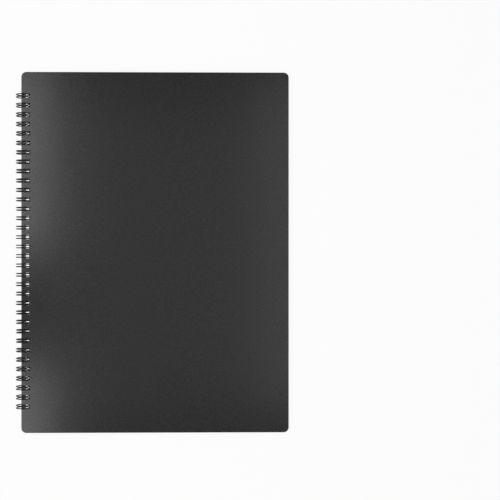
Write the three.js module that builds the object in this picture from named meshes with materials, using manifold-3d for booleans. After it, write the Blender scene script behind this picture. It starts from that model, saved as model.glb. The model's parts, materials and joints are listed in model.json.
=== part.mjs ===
// Music folder: two polypropylene covers and a block of fold-out pocket leaves, punched along the
// left edge and bound by one comb of black twin-loop wire. It lies closed on its back cover.
// Millimetres, +Z up, +Y towards the head of the page. The origin is under the middle of the folder.
import * as THREE from "three";
import { mergeVertices } from "three/addons/utils/BufferGeometryUtils.js";
import Module from "manifold-3d";

const wasm = await Module();
wasm.setup();

// Covers
const coverWidth = 240;
const coverHeight = 324;
const coverThickness = 0.8;
const coverCorner = 4.5;
const coverRoundSteps = 5;

// Punched row, three holes to the inch
const loopCount = 34;
const holePitch = 25.4 / 3;
const holeWidth = 5;
const holeLength = 4;
const holeMargin = 3;
const rowTowardsHead = 1.1;

// Wire comb
const wireDiameter = 1;
const ringDiameter = 12.7;
const loopWidth = 2.3;
const baseBend = 0.8;
const tipToBase = 0.3;
const endStub = 1.2;
const wireSides = 5;
const stepsPerTurn = 10;
const stepsPerTip = 2;

// Place of the stack in the rings
const boundEdge = -0.95;
const coverSpacing = 4.8;
const coverToLeaves = 0.15;
const wireClearance = 0.2;

// Pocket leaves
const leafCount = 6;
const leafWidth = 234;
const leafHeight = 318;
const leafCorner = 3;
const leafGap = 0.12;
const grooveDepth = 1.5;
const marginFlat = 2;
const marginSlope = 8;
const leafRoundSteps = 3;

// Levels, measured from the ring centre
const ringRadius = (ringDiameter - wireDiameter) / 2;
const frontUnderside = (coverSpacing - coverThickness) / 2;
const backTopside = -frontUnderside;
const leavesTop = frontUnderside - coverToLeaves;
const leavesBottom = backTopside + coverToLeaves;
const baseLevel = backTopside + wireClearance + wireDiameter / 2;
const marginBottom = baseLevel + wireDiameter / 2 + wireClearance;
const holeRows = Array.from(
  { length: loopCount },
  (_, i) => rowTowardsHead + ((loopCount - 1) / 2 - i) * holePitch,
);

// A path swept station by station, with the section square to the bisector at each station.
class StationPath extends THREE.Curve {
  constructor(stations) {
    super();
    this.stations = stations;
  }

  getUtoTmapping(u) {
    return u;
  }

  getPoint(t, target = new THREE.Vector3()) {
    return target.copy(this.stations[Math.round(t * (this.stations.length - 1))]);
  }

  getTangent(t, target = new THREE.Vector3()) {
    const last = this.stations.length - 1;
    const i = Math.round(t * last);
    const ways = [i - 1, i]
      .filter((k) => k >= 0 && k < last)
      .map((k) => this.stations[k + 1].clone().sub(this.stations[k]).normalize());
    return ways.reduce((sum, way) => sum.add(way), target.set(0, 0, 0)).normalize();
  }
}

// A place on the ring's cylinder: travel is the way round from the base wire, along the surface.
function onRing(travel, y) {
  const angle = Math.asin(baseLevel / ringRadius) + travel / ringRadius;
  return new THREE.Vector3(ringRadius * Math.cos(angle), y, ringRadius * Math.sin(angle));
}

// One twin loop: round from the base wire to the hairpin tip, and back beside itself.
function loopStations(yMiddle) {
  const half = loopWidth / 2;
  const turnStart = baseBend;
  const turnEnd = 2 * Math.PI * ringRadius - tipToBase - half;
  const there = [];
  for (let i = 0; i <= stepsPerTurn; i++) {
    there.push(THREE.MathUtils.lerp(turnStart, turnEnd, i / stepsPerTurn));
  }
  const stations = [onRing(0, yMiddle + half + baseBend)];
  for (const travel of there) stations.push(onRing(travel, yMiddle + half));
  for (let i = 1; i < stepsPerTip; i++) {
    const turn = (Math.PI * i) / stepsPerTip;
    stations.push(onRing(turnEnd + half * Math.sin(turn), yMiddle + half * Math.cos(turn)));
  }
  for (const travel of there.reverse()) stations.push(onRing(travel, yMiddle - half));
  stations.push(onRing(0, yMiddle - half - baseBend));
  return stations;
}

function wireBinding() {
  const reach = loopWidth / 2 + baseBend + endStub;
  const stations = [
    onRing(0, holeRows[0] + reach),
    ...holeRows.flatMap(loopStations),
    onRing(0, holeRows[loopCount - 1] - reach),
  ];
  const section = new THREE.Shape(
    Array.from({ length: wireSides }, (_, i) => {
      const turn = (2 * Math.PI * i) / wireSides;
      return new THREE.Vector2(Math.cos(turn), Math.sin(turn)).multiplyScalar(wireDiameter / 2);
    }),
  );
  return new THREE.ExtrudeGeometry(section, {
    steps: stations.length - 1,
    extrudePath: new StationPath(stations),
  });
}

// A sheet's outline with round corners, its bound edge along x = boundEdge.
function sheetOutline(width, height, radius) {
  const left = boundEdge;
  const right = boundEdge + width;
  const head = height / 2;
  return new THREE.Shape()
    .absarc(right - radius, head - radius, radius, 0, Math.PI / 2)
    .absarc(left + radius, head - radius, radius, Math.PI / 2, Math.PI)
    .absarc(left + radius, radius - head, radius, Math.PI, 1.5 * Math.PI)
    .absarc(right - radius, radius - head, radius, 1.5 * Math.PI, 2 * Math.PI);
}

// The punched holes, one for each loop of the wire.
function punchedHoles() {
  const left = boundEdge + holeMargin;
  const right = left + holeWidth;
  return holeRows.map((y) =>
    new THREE.Path([
      new THREE.Vector2(left, y - holeLength / 2),
      new THREE.Vector2(right, y - holeLength / 2),
      new THREE.Vector2(right, y + holeLength / 2),
      new THREE.Vector2(left, y + holeLength / 2),
    ]),
  );
}

function cover() {
  const outline = sheetOutline(coverWidth, coverHeight, coverCorner);
  outline.holes = punchedHoles();
  return new THREE.ExtrudeGeometry(outline, {
    depth: coverThickness,
    bevelEnabled: false,
    curveSegments: coverRoundSteps,
  }).translate(0, 0, -coverThickness / 2);
}

// A manifold solid from a closed geometry, and back.
function solid(geometry) {
  const bare = geometry.clone().deleteAttribute("normal").deleteAttribute("uv");
  const merged = mergeVertices(bare, 1e-3);
  return new wasm.Manifold(
    new wasm.Mesh({
      numProp: 3,
      vertProperties: merged.attributes.position.array,
      triVerts: new Uint32Array(merged.index.array),
    }),
  );
}

function geometryOf(manifold) {
  const mesh = manifold.getMesh();
  return new THREE.BufferGeometry()
    .setAttribute("position", new THREE.BufferAttribute(mesh.vertProperties, 3))
    .setIndex(new THREE.BufferAttribute(mesh.triVerts, 1))
    .toNonIndexed();
}

// A profile in the x-z plane, extruded along the spine about y = 0.
function alongSpine(points, length) {
  return new THREE.ExtrudeGeometry(new THREE.Shape(points), {
    depth: length,
    bevelEnabled: false,
  })
    .rotateX(Math.PI / 2)
    .translate(0, length / 2, 0);
}

// The share of the stack from the top: the margin is pressed thin above the base wire, and the
// pockets beyond the slope are thicker.
function marginLevel(share) {
  return THREE.MathUtils.lerp(leavesTop, marginBottom, share);
}

function pocketLevel(share) {
  return THREE.MathUtils.lerp(leavesTop, leavesBottom, share);
}

// Leaf profile between two levels, inset at both ends. A fold rounds the fore-edge.
function leafProfile(topShare, bottomShare, gap, inset) {
  const left = boundEdge + inset;
  const right = boundEdge + leafWidth - inset;
  const slopeStart = boundEdge + holeMargin + holeWidth + marginFlat;
  const slopeEnd = slopeStart + marginSlope;
  const top = pocketLevel(topShare) - gap / 2;
  const bottom = pocketLevel(bottomShare) + gap / 2;
  const fold = (top - bottom) / 2;
  const points = [
    new THREE.Vector2(left, marginLevel(bottomShare) + gap / 2),
    new THREE.Vector2(slopeStart, marginLevel(bottomShare) + gap / 2),
    new THREE.Vector2(slopeEnd, bottom),
  ];
  for (let i = 0; i <= leafRoundSteps; i++) {
    const turn = Math.PI * (i / leafRoundSteps - 0.5);
    points.push(
      new THREE.Vector2(
        right - fold + fold * Math.cos(turn),
        (top + bottom) / 2 + fold * Math.sin(turn),
      ),
    );
  }
  points.push(
    new THREE.Vector2(slopeEnd, top),
    new THREE.Vector2(slopeStart, marginLevel(topShare) - gap / 2),
    new THREE.Vector2(left, marginLevel(topShare) - gap / 2),
  );
  return points;
}

// The leaves are one solid: fold-out leaves with grooves between them on every free edge.
function pocketLeaves() {
  const coreShare = 0.5 / leafCount;
  const coreProfile = leafProfile(coreShare, 1 - coreShare, 0, grooveDepth);
  let block = solid(alongSpine(coreProfile, leafHeight - 2 * grooveDepth));
  for (let i = 0; i < leafCount; i++) {
    const profile = leafProfile(i / leafCount, (i + 1) / leafCount, leafGap, 0);
    block = block.add(solid(alongSpine(profile, leafHeight)));
  }
  const outline = sheetOutline(leafWidth, leafHeight, leafCorner);
  outline.holes = punchedHoles();
  const punch = new THREE.ExtrudeGeometry(outline, {
    depth: ringDiameter,
    bevelEnabled: false,
    curveSegments: leafRoundSteps,
  }).translate(0, 0, -ringDiameter / 2);
  return geometryOf(block.intersect(solid(punch)));
}

const blackPolypropylene = new THREE.MeshStandardMaterial({
  color: 0x2b2b2b,
  roughness: 0.45,
  metalness: 0,
});
const blackCoatedWire = new THREE.MeshStandardMaterial({
  color: 0x141414,
  roughness: 0.3,
  metalness: 0,
});
const clearPocketFilm = new THREE.MeshStandardMaterial({
  color: 0xd9dcde,
  roughness: 0.25,
  metalness: 0,
});

function named(name, geometry, material) {
  const mesh = new THREE.Mesh(geometry, material);
  mesh.name = name;
  return mesh;
}

const frontCover = named("front_cover", cover(), blackPolypropylene);
frontCover.position.z = coverSpacing / 2;
const backCover = named("back_cover", cover(), blackPolypropylene);
backCover.position.z = -coverSpacing / 2;

// The stack leans until the back cover's fore-edge and the rings touch the table together.
const stack = new THREE.Group();
stack.add(
  frontCover,
  backCover,
  named("wire_binding", wireBinding(), blackCoatedWire),
  named("pocket_leaves", pocketLeaves(), clearPocketFilm),
);
const foreEdge = boundEdge + coverWidth;
const underside = (coverSpacing + coverThickness) / 2;
stack.rotation.y =
  Math.asin(ringDiameter / 2 / Math.hypot(foreEdge, underside)) - Math.atan2(underside, foreEdge);

const musicFolder = new THREE.Group();
musicFolder.add(stack);
const size = new THREE.Box3().setFromObject(musicFolder, true);
stack.position.set(-(size.min.x + size.max.x) / 2, -(size.min.y + size.max.y) / 2, -size.min.z);

export default musicFolder;
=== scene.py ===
import json
import math
import random

import bmesh
import bpy
from mathutils import Matrix, Vector, noise


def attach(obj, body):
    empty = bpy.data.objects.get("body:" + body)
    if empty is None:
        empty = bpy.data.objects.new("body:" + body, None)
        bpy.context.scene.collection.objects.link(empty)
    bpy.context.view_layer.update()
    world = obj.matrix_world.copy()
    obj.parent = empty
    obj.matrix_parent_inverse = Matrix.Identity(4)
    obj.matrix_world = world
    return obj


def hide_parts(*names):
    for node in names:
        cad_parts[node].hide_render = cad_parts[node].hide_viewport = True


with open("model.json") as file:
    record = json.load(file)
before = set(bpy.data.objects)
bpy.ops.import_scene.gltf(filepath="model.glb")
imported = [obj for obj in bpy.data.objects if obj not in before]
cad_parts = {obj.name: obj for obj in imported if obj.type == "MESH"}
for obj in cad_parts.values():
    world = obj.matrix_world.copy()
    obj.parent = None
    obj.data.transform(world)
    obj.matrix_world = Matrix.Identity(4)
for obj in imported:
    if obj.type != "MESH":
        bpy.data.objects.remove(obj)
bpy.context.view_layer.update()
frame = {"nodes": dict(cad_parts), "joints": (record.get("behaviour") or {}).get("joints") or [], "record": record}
print("frame loaded:", sorted(frame["nodes"]))

mm = 0.001
weldDistance = 1e-7  # points closer than this are one
rightWay = Vector((1, 0, 0))
headWay = Vector((0, 1, 0))

# the punched row, measured from the ring centre as the frame has it
binding = {
    "loopCount": 34,
    "holePitch": 25.4 / 3 * mm,
    "rowTowardsHead": 1.1 * mm,
    "holeMargin": 3 * mm,
    "holeWidth": 5 * mm,
    "holeLength": 4 * mm,
    "boundEdge": -0.95 * mm,
    "hingeOutside": 0.1 * mm,
}

# the folder leans a little, because it lies on its rings and on the back cover's fore-edge
joints = {joint["name"]: joint for joint in frame["joints"]}
stackUp = -Vector(frame["record"]["mounts"][0]["axis"]).normalized()
stackRight = headWay.cross(stackUp).normalized()
frontHinge = Vector(joints["front_cover_turn"]["pos_m"])
backHinge = Vector(joints["back_cover_turn"]["pos_m"])
hingeToCentre = binding["hingeOutside"] - binding["boundEdge"]
ringCentre = (frontHinge + backHinge) / 2 + stackRight * hingeToCentre
stackTurn = Matrix((stackRight, headWay, stackUp)).transposed().to_4x4()
stackPlace = Matrix.Translation(ringCentre) @ stackTurn

holeRows = [
    binding["rowTowardsHead"] + ((binding["loopCount"] - 1) / 2 - i) * binding["holePitch"]
    for i in range(binding["loopCount"])
]


# materials

# most values of a noise texture lie between these two
noiseLow = 0.3
noiseHigh = 0.7


def newMaterial(name):
    material = bpy.data.materials.new(name)
    material.use_nodes = True
    tree = material.node_tree
    place = tree.nodes.new("ShaderNodeTexCoord")
    return material, tree, tree.nodes["Principled BSDF"], place.outputs["Object"]


def noiseNode(tree, place, scale, detail=3.0, roughness=0.5):
    texture = tree.nodes.new("ShaderNodeTexNoise")
    texture.inputs["Scale"].default_value = scale
    texture.inputs["Detail"].default_value = detail
    texture.inputs["Roughness"].default_value = roughness
    tree.links.new(place, texture.inputs["Vector"])
    return texture.outputs["Fac"]


def rangeNode(tree, value, low, high):
    node = tree.nodes.new("ShaderNodeMapRange")
    node.inputs["From Min"].default_value = noiseLow
    node.inputs["From Max"].default_value = noiseHigh
    node.inputs["To Min"].default_value = low
    node.inputs["To Max"].default_value = high
    tree.links.new(value, node.inputs["Value"])
    return node.outputs["Result"]


def colourNode(tree, value, dark, light):
    node = tree.nodes.new("ShaderNodeValToRGB")
    first, last = node.color_ramp.elements
    first.position = noiseLow
    first.color = (*dark, 1)
    last.position = noiseHigh
    last.color = (*light, 1)
    tree.links.new(value, node.inputs["Fac"])
    return node.outputs["Color"]


def bumpNode(tree, height, strength, distance):
    node = tree.nodes.new("ShaderNodeBump")
    node.inputs["Strength"].default_value = strength
    node.inputs["Distance"].default_value = distance
    tree.links.new(height, node.inputs["Height"])
    return node.outputs["Normal"]


coverPlastic = {
    "dark": (0.0002, 0.0002, 0.0002),
    "light": (0.0105, 0.0105, 0.011),
    "roughLow": 0.18,
    "roughHigh": 0.2,
    "specular": 0.27,
    "ior": 1.49,
    "noiseDetail": 2.0,
    "grainScale": 2600,  # grains of about 0.4 mm
    "grainBump": 0.5,
    "grainDepth": 0.0015 * mm,
    "mottleScale": 650,
    "scuffScale": 25,
}


def makeCoverPlastic():
    material, tree, shader, place = newMaterial("satinBlackPolypropylene")
    detail = coverPlastic["noiseDetail"]
    grain = noiseNode(tree, place, coverPlastic["grainScale"], detail)
    mottle = noiseNode(tree, place, coverPlastic["mottleScale"], detail)
    scuff = noiseNode(tree, place, coverPlastic["scuffScale"], detail)
    colour = colourNode(tree, mottle, coverPlastic["dark"], coverPlastic["light"])
    rough = rangeNode(tree, scuff, coverPlastic["roughLow"], coverPlastic["roughHigh"])
    tree.links.new(colour, shader.inputs["Base Color"])
    tree.links.new(rough, shader.inputs["Roughness"])
    bump = bumpNode(tree, grain, coverPlastic["grainBump"], coverPlastic["grainDepth"])
    tree.links.new(bump, shader.inputs["Normal"])
    shader.inputs["Specular IOR Level"].default_value = coverPlastic["specular"]
    shader.inputs["IOR"].default_value = coverPlastic["ior"]
    return material


wireCoating = {
    "dark": (0.003, 0.003, 0.003),
    "light": (0.006, 0.006, 0.006),
    "roughLow": 0.25,
    "roughHigh": 0.35,
    "specular": 0.2,
    "coatScale": 1500,
    "coatBump": 0.3,
    "coatDepth": 0.01 * mm,
}


def makeWireCoating():
    material, tree, shader, place = newMaterial("blackCoatedWire")
    drops = noiseNode(tree, place, wireCoating["coatScale"])
    colour = colourNode(tree, drops, wireCoating["dark"], wireCoating["light"])
    rough = rangeNode(tree, drops, wireCoating["roughLow"], wireCoating["roughHigh"])
    tree.links.new(colour, shader.inputs["Base Color"])
    tree.links.new(rough, shader.inputs["Roughness"])
    bump = bumpNode(tree, drops, wireCoating["coatBump"], wireCoating["coatDepth"])
    tree.links.new(bump, shader.inputs["Normal"])
    shader.inputs["Specular IOR Level"].default_value = wireCoating["specular"]
    return material


leafFilm = {
    "dark": (0.64, 0.66, 0.67),
    "light": (0.7, 0.72, 0.73),
    "roughLow": 0.16,
    "roughHigh": 0.3,
    "cloudScale": 40,
    "cloudDetail": 4.0,
    "cloudBump": 0.3,
    "cloudDepth": 0.1 * mm,
}


def makeLeafFilm():
    material, tree, shader, place = newMaterial("pocketFilmStack")
    cloud = noiseNode(tree, place, leafFilm["cloudScale"], leafFilm["cloudDetail"])
    colour = colourNode(tree, cloud, leafFilm["dark"], leafFilm["light"])
    rough = rangeNode(tree, cloud, leafFilm["roughLow"], leafFilm["roughHigh"])
    tree.links.new(colour, shader.inputs["Base Color"])
    tree.links.new(rough, shader.inputs["Roughness"])
    bump = bumpNode(tree, cloud, leafFilm["cloudBump"], leafFilm["cloudDepth"])
    tree.links.new(bump, shader.inputs["Normal"])
    return material


clearFilm = {
    "colour": (0.9, 0.93, 0.95),
    "alpha": 0.12,
    "roughness": 0.1,
    "specular": 1.0,
    "rippleScale": 18,
    "rippleDetail": 2.0,
    "rippleBump": 0.5,
    "rippleDepth": 0.4 * mm,
}


def makeClearFilm():
    material, tree, shader, place = newMaterial("clearPocketFilm")
    ripple = noiseNode(tree, place, clearFilm["rippleScale"], clearFilm["rippleDetail"])
    shader.inputs["Base Color"].default_value = (*clearFilm["colour"], 1)
    shader.inputs["Alpha"].default_value = clearFilm["alpha"]
    shader.inputs["Roughness"].default_value = clearFilm["roughness"]
    shader.inputs["Specular IOR Level"].default_value = clearFilm["specular"]
    bump = bumpNode(tree, ripple, clearFilm["rippleBump"], clearFilm["rippleDepth"])
    tree.links.new(bump, shader.inputs["Normal"])
    return material


insertPaper = {
    "dark": (0.86, 0.86, 0.85),
    "light": (0.92, 0.92, 0.91),
    "roughness": 0.85,
    "fibreScale": 900,
    "fibreDetail": 5.0,
    "fibreRoughness": 0.7,
    "fibreBump": 0.3,
    "fibreDepth": 0.03 * mm,
}


def makeInsertPaper():
    material, tree, shader, place = newMaterial("whiteInsertPaper")
    fibre = noiseNode(tree, place, insertPaper["fibreScale"], insertPaper["fibreDetail"],
                      insertPaper["fibreRoughness"])
    colour = colourNode(tree, fibre, insertPaper["dark"], insertPaper["light"])
    tree.links.new(colour, shader.inputs["Base Color"])
    bump = bumpNode(tree, fibre, insertPaper["fibreBump"], insertPaper["fibreDepth"])
    tree.links.new(bump, shader.inputs["Normal"])
    shader.inputs["Roughness"].default_value = insertPaper["roughness"]
    return material


printInk = {
    "dark": (0.02, 0.02, 0.022),
    "light": (0.05, 0.05, 0.053),
    "roughness": 0.8,
    "speckScale": 1200,
}


def makePrintInk():
    material, tree, shader, place = newMaterial("blackPrint")
    speck = noiseNode(tree, place, printInk["speckScale"])
    colour = colourNode(tree, speck, printInk["dark"], printInk["light"])
    tree.links.new(colour, shader.inputs["Base Color"])
    shader.inputs["Roughness"].default_value = printInk["roughness"]
    return material


coverMaterial = makeCoverPlastic()
wireMaterial = makeWireCoating()
filmStackMaterial = makeLeafFilm()
clearFilmMaterial = makeClearFilm()
paperMaterial = makeInsertPaper()
inkMaterial = makePrintInk()
print("materials made")


# sheets, made flat in the stack's own frame

rimAngle = math.radians(60)  # edges sharper than this are a sheet's rim
rimSteps = 2


def flatSheet(left, width, height, corner, cornerSteps):
    bm = bmesh.new()
    bmesh.ops.create_grid(bm, x_segments=1, y_segments=1, size=0.5)
    bmesh.ops.scale(bm, vec=(width, height, 1), verts=bm.verts)
    bmesh.ops.translate(bm, vec=(left + width / 2, 0, 0), verts=bm.verts)
    bmesh.ops.bevel(bm, geom=bm.verts[:], offset=corner, offset_type="OFFSET", affect="VERTICES",
                    segments=cornerSteps, profile=0.5, material=-1)
    return bm


def cutAcross(bm, places, way):
    for place in places:
        geometry = bm.verts[:] + bm.edges[:] + bm.faces[:]
        bmesh.ops.bisect_plane(bm, geom=geometry, dist=weldDistance, plane_co=way * place, plane_no=way)


def punchRow(bm):
    left = binding["boundEdge"] + binding["holeMargin"]
    right = left + binding["holeWidth"]
    half = binding["holeLength"] / 2
    cutAcross(bm, (left, right), rightWay)
    for y in holeRows:
        cutAcross(bm, (y - half, y + half), headWay)
    punched = []
    for face in bm.faces:
        middle = face.calc_center_median()
        inRow = any(abs(middle.y - y) < half for y in holeRows)
        if left < middle.x < right and inRow:
            punched.append(face)
    bmesh.ops.delete(bm, geom=punched, context="FACES")


def smoothStep(share):
    share = max(0, min(1, share))
    return share * share * (3 - 2 * share)


# the sheet grows on the side away from its normals, inwards where it is folded
def thicken(bm, thickness, edgeRound=0):
    bm.normal_update()
    bmesh.ops.solidify(bm, geom=bm.faces[:], thickness=thickness)
    bmesh.ops.recalc_face_normals(bm, faces=bm.faces)
    if edgeRound:
        rims = [edge for edge in bm.edges if edge.calc_face_angle(0) > rimAngle]
        bmesh.ops.bevel(bm, geom=rims, offset=edgeRound, offset_type="OFFSET", affect="EDGES",
                        segments=rimSteps, profile=0.5, material=-1, clamp_overlap=True)


def addPiece(name, bm, material, body, place=stackPlace, smoothUpTo=20):
    bmesh.ops.transform(bm, matrix=place, verts=bm.verts)
    mesh = bpy.data.meshes.new(name)
    bm.to_mesh(mesh)
    bm.free()
    mesh.materials.append(material)
    mesh.shade_smooth()
    mesh.set_sharp_from_angle(angle=math.radians(smoothUpTo))
    piece = bpy.data.objects.new(name, mesh)
    bpy.context.scene.collection.objects.link(piece)
    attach(piece, body)
    return piece


# covers

cover = {
    "width": 240 * mm,
    "height": 324 * mm,
    "thickness": 0.8 * mm,
    "corner": 4.5 * mm,
    "cornerSteps": 8,
    "edgeRound": 0.14 * mm,
    "spacing": 4.8 * mm,  # between the middles of the two covers
    "columns": 14,
    "wave": 0.06 * mm,  # how far the front cover lifts here and there
    "waveLength": 120 * mm,
    "waveMean": 0.5,  # keeps most of the wave above the flat sheet
    "waveColumns": 2,  # the wave sets in over the first two columns
}


def makeCover(name, node, body, level, wave):
    left = binding["boundEdge"]
    bm = flatSheet(left, cover["width"], cover["height"], cover["corner"], cover["cornerSteps"])
    step = cover["width"] / cover["columns"]
    cutAcross(bm, [left + step * i for i in range(1, cover["columns"])], rightWay)
    punchRow(bm)
    for vert in bm.verts:
        lift = cover["waveMean"] + noise.noise(vert.co / cover["waveLength"])
        share = smoothStep((vert.co.x - left) / step / cover["waveColumns"])
        vert.co.z = level + cover["thickness"] / 2 + wave * lift * share
    thicken(bm, cover["thickness"], cover["edgeRound"])
    piece = addPiece(name, bm, coverMaterial, body)
    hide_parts(node)


makeCover("frontCoverSheet", "front_cover", "front", cover["spacing"] / 2, cover["wave"])
makeCover("backCoverSheet", "back_cover", "back", -cover["spacing"] / 2, 0)
print("covers made")


# wire comb

wire = {
    "diameter": 1 * mm,
    "ringRadius": 5.85 * mm,
    "baseLevel": -1.3 * mm,
    "loopWidth": 2.3 * mm,
    "baseBend": 0.8 * mm,
    "tipToBase": 0.3 * mm,
    "endStub": 1.2 * mm,
    "turnSteps": 36,
    "bendSteps": 3,
    "tipSteps": 8,
    "sideSteps": 3,
    "smoothUpTo": 70,
}


# travel is the way round the ring, from the base run
def onRing(travel, y):
    angle = math.asin(wire["baseLevel"] / wire["ringRadius"]) + travel / wire["ringRadius"]
    return Vector((wire["ringRadius"] * math.cos(angle), y, wire["ringRadius"] * math.sin(angle)))


def loopPoints(yMiddle):
    half = wire["loopWidth"] / 2
    bend = wire["baseBend"]
    turnEnd = 2 * math.pi * wire["ringRadius"] - wire["tipToBase"] - half
    rising = []
    for i in range(wire["bendSteps"] + 1):
        turn = math.pi / 2 * i / wire["bendSteps"]
        rising.append((bend * (1 - math.cos(turn)), half + bend * (1 - math.sin(turn))))
    for i in range(1, wire["turnSteps"] + 1):
        rising.append((bend + (turnEnd - bend) * i / wire["turnSteps"], half))
    tip = []
    for i in range(1, wire["tipSteps"]):
        turn = math.pi * i / wire["tipSteps"]
        tip.append((turnEnd + half * math.sin(turn), half * math.cos(turn)))
    falling = [(travel, -side) for travel, side in reversed(rising)]
    return [onRing(travel, yMiddle + side) for travel, side in rising + tip + falling]


def makeWire():
    reach = wire["loopWidth"] / 2 + wire["baseBend"] + wire["endStub"]
    route = [onRing(0, holeRows[0] + reach)]
    for y in holeRows:
        route += loopPoints(y)
    route.append(onRing(0, holeRows[-1] - reach))
    curve = bpy.data.curves.new("wireRoute", "CURVE")
    curve.dimensions = "3D"
    curve.bevel_depth = wire["diameter"] / 2
    curve.bevel_resolution = wire["sideSteps"]
    curve.use_fill_caps = True
    spline = curve.splines.new("POLY")
    spline.points.add(len(route) - 1)
    for point, place in zip(spline.points, route):
        point.co = (*place, 1)
    holder = bpy.data.objects.new("wireRoute", curve)
    bpy.context.scene.collection.objects.link(holder)
    bpy.context.view_layer.update()
    bm = bmesh.new()
    bm.from_mesh(bpy.data.meshes.new_from_object(holder))
    bpy.data.objects.remove(holder)
    bmesh.ops.remove_doubles(bm, verts=bm.verts, dist=weldDistance)
    bmesh.ops.recalc_face_normals(bm, faces=bm.faces)
    piece = addPiece("twinLoopWire", bm, wireMaterial, "bound_leaves",
                     smoothUpTo=wire["smoothUpTo"])
    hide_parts("wire_binding")


makeWire()
print("wire made")


# fold-out leaves

leaves = {
    "count": 6,
    "width": 234 * mm,
    "height": 318 * mm,
    "corner": 3 * mm,
    "cornerSteps": 4,
    "gap": 0.12 * mm,
    "film": 0.15 * mm,
    "top": 1.85 * mm,
    "bottom": -1.85 * mm,
    "marginBottom": -0.6 * mm,
    "slopeStart": 10 * mm,  # from the bound edge
    "slopeLength": 8 * mm,
    "slopeSteps": 6,
    "foldSteps": 6,
    "backPageStart": 18.5 * mm,  # the folded page's free edge, past the slope of the next leaf
    "lastPageStart": 14.5 * mm,  # the last leaf's page reaches further in, to carry a pocket
    "pocketRoom": 0.13 * mm,  # for the outer pockets' film and paper
    "spread": 0.4 * mm,  # between the fore-edges of the leaves
}


# the margin is pressed thin above the base run, and the pages beyond the slope lie further apart
def leafLevels(index):
    marginStep = (leaves["top"] - leaves["marginBottom"]) / leaves["count"]
    pocketStep = (leaves["top"] - leaves["bottom"]) / leaves["count"]
    half = leaves["gap"] / 2
    margin = leaves["top"] - marginStep * index - half
    top = leaves["top"] - pocketStep * index - half
    bottom = leaves["top"] - pocketStep * (index + 1) + half
    if index == 0:
        top -= leaves["pocketRoom"]
        margin -= leaves["pocketRoom"]
    if index == leaves["count"] - 1:
        bottom += leaves["pocketRoom"]
    return margin, top, bottom


# from the bound edge over the slope to the fold at the fore-edge, and back underneath
def leafCurve(travel, width, margin, top, bottom):
    radius = (top - bottom) / 2
    flat = width - radius
    if travel <= flat:
        share = smoothStep((travel - leaves["slopeStart"]) / leaves["slopeLength"])
        return travel, margin + (top - margin) * share
    turn = (travel - flat) / radius
    if turn <= math.pi:
        return flat + radius * math.sin(turn), (top + bottom) / 2 + radius * math.cos(turn)
    return flat - (travel - flat - math.pi * radius), bottom


def makeLeaf(index, dice):
    margin, top, bottom = leafLevels(index)
    radius = (top - bottom) / 2
    width = leaves["width"] - dice.uniform(0, leaves["spread"])
    flat = width - radius
    isLast = index == leaves["count"] - 1
    pageStart = leaves["lastPageStart"] if isLast else leaves["backPageStart"]
    length = flat + math.pi * radius + flat - pageStart
    left = binding["boundEdge"]
    bm = flatSheet(left, length, leaves["height"], leaves["corner"], leaves["cornerSteps"])
    slopes = [leaves["slopeStart"] + leaves["slopeLength"] * i / leaves["slopeSteps"]
              for i in range(leaves["slopeSteps"] + 1)]
    folds = [flat + math.pi * radius * i / leaves["foldSteps"]
             for i in range(leaves["foldSteps"] + 1)]
    cutAcross(bm, [left + place for place in slopes + folds], rightWay)
    punchRow(bm)
    for vert in bm.verts:
        x, z = leafCurve(vert.co.x - left, width, margin, top, bottom)
        vert.co.x = left + x
        vert.co.z = z
    thicken(bm, leaves["film"])
    name = "foldOutLeaf." + str(index + 1)
    piece = addPiece(name, bm, filmStackMaterial, "bound_leaves")
    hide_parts("pocket_leaves")


# the same dice serve the leaves' fore-edges and then the notes
diceSeed = 34
dice = random.Random(diceSeed)
for index in range(leaves["count"]):
    makeLeaf(index, dice)
print("leaves made")


# the two outer pockets: clear film welded to the leaf, with a printed sheet inside

pocket = {
    "left": 15 * mm,  # from the bound edge
    "right": 231.5 * mm,
    "foot": -158 * mm,
    "head": 155 * mm,  # the open mouth
    "corner": 1.5 * mm,
    "cornerSteps": 4,
    "film": 0.04 * mm,
    "lift": 0.12 * mm,
    "rimLift": 0.3,  # the share of the lift at the rim, outside the weld
    "weldInset": 1.6 * mm,
    "weldWidth": 1.2 * mm,
    "ramp": 1.6 * mm,
    "rampSteps": 4,
}

insert = {
    "width": 210 * mm,
    "height": 297 * mm,
    "thickness": 0.08 * mm,
    "corner": 0.4 * mm,
    "cornerSteps": 3,
    "clear": 0.01 * mm,
}


# side is 1 for the first leaf's front page and -1 for the last leaf's back page
def pagePlace(side):
    level = leaves["top"] - leaves["gap"] / 2 - leaves["pocketRoom"] + insert["clear"]
    middle = Vector((
        binding["boundEdge"] + (pocket["left"] + pocket["right"]) / 2,
        (pocket["foot"] + pocket["head"]) / 2,
        side * level,
    ))
    turn = Matrix.Rotation(0 if side > 0 else math.pi, 4, "Y")
    return stackPlace @ Matrix.Translation(middle) @ turn


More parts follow.
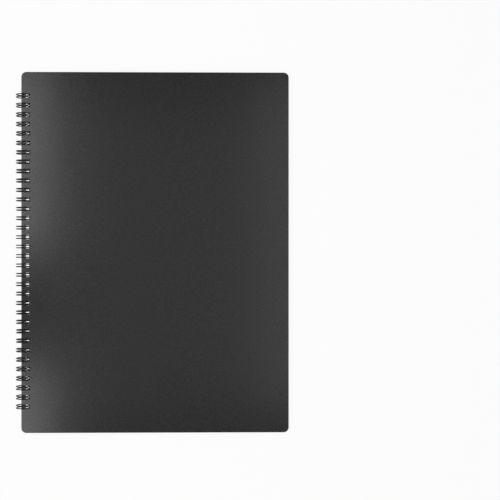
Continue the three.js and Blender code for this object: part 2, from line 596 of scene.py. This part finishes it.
def makePocketFilm(name, side):
    width = pocket["right"] - pocket["left"]
    height = pocket["head"] - pocket["foot"]
    bm = flatSheet(-width / 2, width, height, pocket["corner"], pocket["cornerSteps"])
    rampStart = pocket["weldInset"] + pocket["weldWidth"]
    bands = [pocket["weldInset"] / 2, pocket["weldInset"]]
    for i in range(pocket["rampSteps"] + 1):
        bands.append(rampStart + pocket["ramp"] * i / pocket["rampSteps"])
    cutAcross(bm, [-width / 2 + band for band in bands], rightWay)
    cutAcross(bm, [width / 2 - band for band in bands], rightWay)
    cutAcross(bm, [-height / 2 + band for band in bands], headWay)
    for vert in bm.verts:
        inwards = min(width / 2 - abs(vert.co.x), height / 2 + vert.co.y)
        overWeld = smoothStep((inwards - rampStart) / pocket["ramp"])
        rim = pocket["rimLift"] * smoothStep(1 - inwards / pocket["weldInset"])
        vert.co.z = pocket["film"] + pocket["lift"] * max(overWeld, rim)
    thicken(bm, pocket["film"])
    addPiece(name, bm, clearFilmMaterial, "bound_leaves", pagePlace(side))


def insertShift():
    foot = pocket["foot"] + pocket["weldInset"] + pocket["weldWidth"] + pocket["ramp"]
    return foot + insert["height"] / 2 - (pocket["foot"] + pocket["head"]) / 2


def makeInsert(name, side):
    left = -insert["width"] / 2
    bm = flatSheet(left, insert["width"], insert["height"], insert["corner"], insert["cornerSteps"])
    bmesh.ops.translate(bm, vec=(0, insertShift(), insert["thickness"]), verts=bm.verts)
    thicken(bm, insert["thickness"])
    addPiece(name, bm, paperMaterial, "bound_leaves", pagePlace(side))


# plain staves with notes thrown by dice, standing for no real piece of music

music = {
    "sideMargin": 15 * mm,
    "headMargin": 24 * mm,
    "systems": 6,
    "systemPitch": 43 * mm,
    "staves": 2,  # in each system
    "staffPitch": 18 * mm,
    "lines": 5,  # in each staff
    "lineGap": 1.75 * mm,
    "lineWidth": 0.2 * mm,
    "barWidth": 0.35 * mm,
    "bars": 4,
    "barLead": 0.06,  # this and the next two are shares of a bar
    "beatPitch": 0.3,
    "beatWidth": 0.28,
    "beats": 3,
    "groupSizes": (1, 2, 2, 3, 4),
    "reach": 4,  # half line gaps from the middle line
    "headLength": 2.2 * mm,
    "headHeight": 1.5 * mm,
    "headTilt": 20,
    "headSides": 10,
    "stemLength": 6 * mm,
    "stemWidth": 0.25 * mm,
    "beamWidth": 0.9 * mm,
    "inkThickness": 0.006 * mm,
}


def strip(bm, x, y, width, height):
    place = Matrix.Translation((x, y, 0)) @ Matrix.Diagonal((width, height, 1, 1))
    bmesh.ops.create_grid(bm, x_segments=1, y_segments=1, size=0.5, matrix=place)


def noteHead(bm, x, y):
    size = Matrix.Diagonal((music["headLength"] / 2, music["headHeight"] / 2, 1, 1))
    tilt = Matrix.Rotation(math.radians(music["headTilt"]), 4, "Z")
    place = Matrix.Translation((x, y, 0)) @ tilt @ size
    bmesh.ops.create_circle(bm, cap_ends=True, segments=music["headSides"], radius=1, matrix=place)


def noteGroup(bm, left, width, staffMiddle, dice):
    count = dice.choice(music["groupSizes"])
    up = dice.choice((-1, 1))
    steps = [dice.randint(-music["reach"], music["reach"]) for _ in range(count)]
    levels = [staffMiddle + step * music["lineGap"] / 2 for step in steps]
    beam = (max(levels) if up > 0 else min(levels)) + up * music["stemLength"]
    places = [left + width * (i + 0.5) / count for i in range(count)]
    side = up * (music["headLength"] - music["stemWidth"]) / 2
    for x, y in zip(places, levels):
        noteHead(bm, x, y)
        strip(bm, x + side, (y + beam) / 2, music["stemWidth"], abs(beam - y))
    if count > 1:
        span = places[-1] - places[0] + music["stemWidth"]
        strip(bm, (places[0] + places[-1]) / 2 + side, beam, span, music["beamWidth"])


def makeMusic(name, side, dice):
    bm = bmesh.new()
    width = insert["width"] - 2 * music["sideMargin"]
    firstLine = insert["height"] / 2 - music["headMargin"]
    barPitch = width / music["bars"]
    outerLine = music["lines"] // 2
    for system in range(music["systems"]):
        systemTop = firstLine - system * music["systemPitch"]
        staves = [systemTop - i * music["staffPitch"] for i in range(music["staves"])]
        for staff in staves:
            for line in range(-outerLine, outerLine + 1):
                strip(bm, 0, staff + line * music["lineGap"], width, music["lineWidth"])
            for bar in range(music["bars"]):
                left = -width / 2 + bar * barPitch
                for beat in range(music["beats"]):
                    start = left + barPitch * (music["barLead"] + music["beatPitch"] * beat)
                    noteGroup(bm, start, barPitch * music["beatWidth"], staff, dice)
        middle = (staves[0] + staves[-1]) / 2
        height = staves[0] - staves[-1] + 2 * outerLine * music["lineGap"]
        for bar in range(music["bars"] + 1):
            strip(bm, -width / 2 + bar * barPitch, middle, music["barWidth"], height)
    inkTop = insert["thickness"] + insert["clear"] + music["inkThickness"]
    bmesh.ops.translate(bm, vec=(0, insertShift(), inkTop), verts=bm.verts)
    thicken(bm, music["inkThickness"])
    addPiece(name, bm, inkMaterial, "bound_leaves", pagePlace(side))


for name, side in {"frontPocket": 1, "backPocket": -1}.items():
    makePocketFilm(name + "Film", side)
    makeInsert(name + "Sheet", side)
    makeMusic(name + "Music", side, dice)
print("pockets made")


# floor, lights and camera

studio = {
    "floorSize": 30,
    "floorLevel": -0.07 * mm,
    "floorColour": (0.9, 0.9, 0.9),
    "floorRoughness": 0.9,
    "floorGlow": 0.9,  # the share of plain white that the camera sees
    "worldLight": 0.5,  # what lights the part, while the camera sees plain white
}


def rayShare(tree):
    path = tree.nodes.new("ShaderNodeLightPath")
    total = path.outputs["Is Camera Ray"]
    for name in ("Is Glossy Ray", "Is Transmission Ray"):
        node = tree.nodes.new("ShaderNodeMath")
        node.operation = "MAXIMUM"
        tree.links.new(total, node.inputs[0])
        tree.links.new(path.outputs[name], node.inputs[1])
        total = node.outputs[0]
    return total


def makeFloor():
    bm = bmesh.new()
    bmesh.ops.create_grid(bm, x_segments=1, y_segments=1, size=studio["floorSize"] / 2)
    mesh = bpy.data.meshes.new("floor")
    bm.to_mesh(mesh)
    bm.free()
    material = bpy.data.materials.new("paleFloor")
    material.use_nodes = True
    tree = material.node_tree
    shader = tree.nodes["Principled BSDF"]
    shader.inputs["Base Color"].default_value = (*studio["floorColour"], 1)
    shader.inputs["Roughness"].default_value = studio["floorRoughness"]
    glow = tree.nodes.new("ShaderNodeEmission")
    mix = tree.nodes.new("ShaderNodeMixShader")
    share = tree.nodes.new("ShaderNodeMath")
    share.operation = "MULTIPLY"
    share.inputs[1].default_value = studio["floorGlow"]
    tree.links.new(rayShare(tree), share.inputs[0])
    tree.links.new(share.outputs[0], mix.inputs["Fac"])
    tree.links.new(shader.outputs[0], mix.inputs[1])
    tree.links.new(glow.outputs[0], mix.inputs[2])
    tree.links.new(mix.outputs[0], tree.nodes["Material Output"].inputs["Surface"])
    mesh.materials.append(material)
    floor = bpy.data.objects.new("floor", mesh)
    floor.location.z = studio["floorLevel"]
    bpy.context.scene.collection.objects.link(floor)


def makeWorld():
    world = bpy.data.worlds.new("studio")
    bpy.context.scene.world = world
    world.use_nodes = True
    tree = world.node_tree
    background = tree.nodes["Background"]
    background.inputs["Color"].default_value = (1, 1, 1, 1)
    strength = tree.nodes.new("ShaderNodeMapRange")
    strength.inputs["To Min"].default_value = studio["worldLight"]
    strength.inputs["To Max"].default_value = 1
    tree.links.new(rayShare(tree), strength.inputs["Value"])
    tree.links.new(strength.outputs["Result"], background.inputs["Strength"])


# soft boxes that all hang level at one height
lampHeight = 0.95
lamps = {
    "ceiling": {"middle": (-0.074, -0.014), "size": (0.402, 0.557), "radiance": 0.45},
    "headLeft": {"middle": (-0.485, 0.181), "size": (0.42, 0.366), "radiance": 5.8},
    "footLeft": {"middle": (-0.451, -0.328), "size": (0.352, 0.214), "radiance": 6.8},
    "right": {"middle": (0.21, 0.017), "size": (0.167, 0.621), "radiance": 1.6},
}


def makeLamp(name, middle, size, radiance):
    light = bpy.data.lights.new(name, "AREA")
    light.shape = "RECTANGLE"
    light.size, light.size_y = size
    light.energy = radiance * math.pi * size[0] * size[1]
    lamp = bpy.data.objects.new(name, light)
    lamp.location = (*middle, lampHeight)
    bpy.context.scene.collection.objects.link(lamp)


view = {
    "centre": (0.0877, 0.0022),  # under the middle of the picture
    "planeHeight": 7 * mm,
    "distance": 0.85,
    "frameWidth": 0.44965,
    "sensor": 36,
}


def makeCamera():
    data = bpy.data.cameras.new("camera")
    data.sensor_width = view["sensor"]
    data.lens = view["sensor"] * view["distance"] / view["frameWidth"]
    camera = bpy.data.objects.new("camera", data)
    camera.location = (*view["centre"], view["planeHeight"] + view["distance"])
    bpy.context.scene.collection.objects.link(camera)
    bpy.context.scene.camera = camera


makeFloor()
makeWorld()
for name, lamp in lamps.items():
    makeLamp(name, **lamp)
makeCamera()
bpy.context.scene.view_settings.view_transform = "Standard"
print("studio made")
